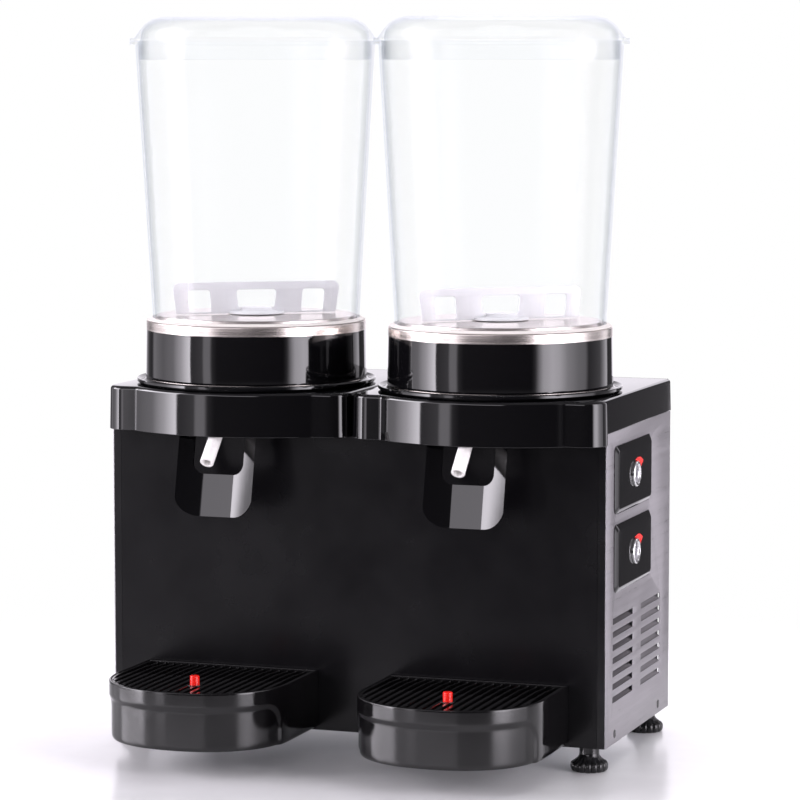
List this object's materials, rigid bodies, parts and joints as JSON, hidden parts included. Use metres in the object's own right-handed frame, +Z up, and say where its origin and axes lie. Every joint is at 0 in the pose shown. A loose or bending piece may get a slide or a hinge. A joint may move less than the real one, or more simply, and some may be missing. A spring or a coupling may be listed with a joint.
{
  "type": "refrigerated drink dispenser",
  "caption": "Refrigerated counter-top drink dispenser with clear stirred bowls, push-lever pinch taps and removable drip trays on a louvred body.",
  "frame": {"origin": "on the counter, under the middle of the whole machine's box with its feet down", "axes": "+Z up, -Y towards the user (taps and drip trays), +X towards the switch side"},
  "size_m": [0.5664, 0.434, 0.79],
  "materials": {
    "gloss_black": "high gloss moulded ABS",
    "satin_black": "satin powder coat",
    "black_trim": "moulded",
    "tray_black": "moulded ABS with a light gloss",
    "stainless": "brushed",
    "galvanised": "bare galvanised sheet",
    "fin_aluminium": "thin fins",
    "copper": "copper tube",
    "black_metal": "satin enamel",
    "steel": "bright drawn",
    "magnet": "magnets potted in a moulded carrier",
    "clear_plastic": "clear polycarbonate",
    "paddle_white": "translucent moulded",
    "gasket_white": "moulded silicone",
    "silicone": "translucent silicone",
    "foam": "rigid insulation foam",
    "red_plastic": "moulded",
    "knob_grey": "grey centre in a bright rim"
  },
  "bodies": {
    "machine": {"base_pan": "galvanised", "front_panel": "satin_black", "rear_panel": "galvanised", "side_panel_right": "stainless", "side_panel_left": "stainless", "corner_post_right": "satin_black", "corner_post_left": "satin_black", "deck_plate": "galvanised", "power_inlet": "black_trim", "compressor": "black_metal", "condenser": "fin_aluminium", "fan_motor": "black_metal", "refrigerant_pipe": "copper", "bezel_upper": "gloss_black", "bezel_lower": "gloss_black", "top_cover_right": "gloss_black", "drip_gutter_right": "gloss_black", "collar_right": "gloss_black", "insulation_block_right": "foam", "cold_plate_right": "stainless", "bowl_gasket_right": "gasket_white", "agitator_motor_right": "black_metal", "tap_tube_right": "silicone", "tap_body_right": "satin_black", "lever_pin_right": "steel", "top_cover_left": "gloss_black", "drip_gutter_left": "gloss_black", "collar_left": "gloss_black", "insulation_block_left": "foam", "cold_plate_left": "stainless", "bowl_gasket_left": "gasket_white", "agitator_motor_left": "black_metal", "tap_tube_left": "silicone", "tap_body_left": "satin_black", "lever_pin_left": "steel"},
    "condenser_fan": {"condenser_fan": "black_metal"},
    "foot_front_right": {"foot_front_right": "black_trim"},
    "foot_front_left": {"foot_front_left": "black_trim"},
    "foot_rear_right": {"foot_rear_right": "black_trim"},
    "foot_rear_left": {"foot_rear_left": "black_trim"},
    "knob_upper": {"knob_upper": "knob_grey"},
    "knob_lower": {"knob_lower": "knob_grey"},
    "bowl_right": {"bowl_right": "clear_plastic"},
    "lid_right": {"lid_right": "clear_plastic"},
    "magnet_rotor_right": {"magnet_rotor_right": "magnet"},
    "paddle_right": {"paddle_right": "paddle_white"},
    "tap_lever_right": {"tap_lever_right": "gloss_black", "lever_spring_right": "steel"},
    "drip_tray_right": {"drip_tray_right": "tray_black"},
    "drip_grille_right": {"drip_grille_right": "tray_black"},
    "level_float_right": {"level_float_right": "red_plastic"},
    "bowl_left": {"bowl_left": "clear_plastic"},
    "lid_left": {"lid_left": "clear_plastic"},
    "magnet_rotor_left": {"magnet_rotor_left": "magnet"},
    "paddle_left": {"paddle_left": "paddle_white"},
    "tap_lever_left": {"tap_lever_left": "gloss_black", "lever_spring_left": "steel"},
    "drip_tray_left": {"drip_tray_left": "tray_black"},
    "drip_grille_left": {"drip_grille_left": "tray_black"},
    "level_float_left": {"level_float_left": "red_plastic"}
  },
  "joints": [
    {"name": "fan_spin", "type": "hinge", "parent": "machine", "child": "condenser_fan", "pos_m": [0.1471, 0.085, 0.116], "axis": [1, 0, 0], "continuous": true},
    {"name": "foot_front_right_turn", "type": "hinge", "parent": "machine", "child": "foot_front_right", "pos_m": [0.2551, -0.027, 0.02], "axis": [0, 0, 1], "continuous": true},
    {"name": "foot_front_left_turn", "type": "hinge", "parent": "machine", "child": "foot_front_left", "pos_m": [-0.2609, -0.027, 0.02], "axis": [0, 0, 1], "continuous": true},
    {"name": "foot_rear_right_turn", "type": "hinge", "parent": "machine", "child": "foot_rear_right", "pos_m": [0.2551, 0.1968, 0.02], "axis": [0, 0, 1], "continuous": true},
    {"name": "foot_rear_left_turn", "type": "hinge", "parent": "machine", "child": "foot_rear_left", "pos_m": [-0.2609, 0.1968, 0.02], "axis": [0, 0, 1], "continuous": true},
    {"name": "knob_upper_turn", "type": "hinge", "parent": "machine", "child": "knob_upper", "pos_m": [0.2777, 0.058, 0.3055], "axis": [-1, 0, 0], "range_deg": [0, 90]},
    {"name": "knob_lower_turn", "type": "hinge", "parent": "machine", "child": "knob_lower", "pos_m": [0.2777, 0.058, 0.2225], "axis": [-1, 0, 0], "range_deg": [0, 90]},
    {"name": "bowl_right_lift", "type": "slide", "parent": "machine", "child": "bowl_right", "axis": [0, 0, 1], "range_m": [0, 0.12]},
    {"name": "lid_right_lift", "type": "slide", "parent": "bowl_right", "child": "lid_right", "axis": [0, 0, 1], "range_m": [0, 0.15]},
    {"name": "rotor_right_spin", "type": "hinge", "parent": "machine", "child": "magnet_rotor_right", "pos_m": [0.1371, 0.0312, 0.458], "axis": [0, 0, 1], "continuous": true},
    {"name": "paddle_right_spin", "type": "hinge", "parent": "machine", "child": "paddle_right", "pos_m": [0.1371, 0.0312, 0.472], "axis": [0, 0, 1], "continuous": true},
    {"name": "lever_right_push", "type": "hinge", "parent": "machine", "child": "tap_lever_right", "pos_m": [0.1371, -0.062, 0.352], "axis": [1, 0, 0], "range_deg": [0, 16], "stiffness_Nm_per_rad": 1.5},
    {"name": "tray_right_slide", "type": "slide", "parent": "machine", "child": "drip_tray_right", "axis": [0, -1, 0], "range_m": [0, 0.12]},
    {"name": "grille_right_lift", "type": "slide", "parent": "drip_tray_right", "child": "drip_grille_right", "axis": [0, 0, 1], "range_m": [0, 0.05]},
    {"name": "float_right_rise", "type": "slide", "parent": "drip_tray_right", "child": "level_float_right", "axis": [0, 0, 1], "range_m": [0, 0.012]},
    {"name": "bowl_left_lift", "type": "slide", "parent": "machine", "child": "bowl_left", "axis": [0, 0, 1], "range_m": [0, 0.12]},
    {"name": "lid_left_lift", "type": "slide", "parent": "bowl_left", "child": "lid_left", "axis": [0, 0, 1], "range_m": [0, 0.15]},
    {"name": "rotor_left_spin", "type": "hinge", "parent": "machine", "child": "magnet_rotor_left", "pos_m": [-0.1429, 0.0312, 0.458], "axis": [0, 0, 1], "continuous": true},
    {"name": "paddle_left_spin", "type": "hinge", "parent": "machine", "child": "paddle_left", "pos_m": [-0.1429, 0.0312, 0.472], "axis": [0, 0, 1], "continuous": true},
    {"name": "lever_left_push", "type": "hinge", "parent": "machine", "child": "tap_lever_left", "pos_m": [-0.1429, -0.062, 0.352], "axis": [1, 0, 0], "range_deg": [0, 16], "stiffness_Nm_per_rad": 1.5},
    {"name": "tray_left_slide", "type": "slide", "parent": "machine", "child": "drip_tray_left", "axis": [0, -1, 0], "range_m": [0, 0.12]},
    {"name": "grille_left_lift", "type": "slide", "parent": "drip_tray_left", "child": "drip_grille_left", "axis": [0, 0, 1], "range_m": [0, 0.05]},
    {"name": "float_left_rise", "type": "slide", "parent": "drip_tray_left", "child": "level_float_left", "axis": [0, 0, 1], "range_m": [0, 0.012]}
  ],
  "couplings": [
    {"joint": "paddle_right_spin", "follows": "rotor_right_spin", "ratio": 1},
    {"joint": "paddle_left_spin", "follows": "rotor_left_spin", "ratio": 1}
  ]
}
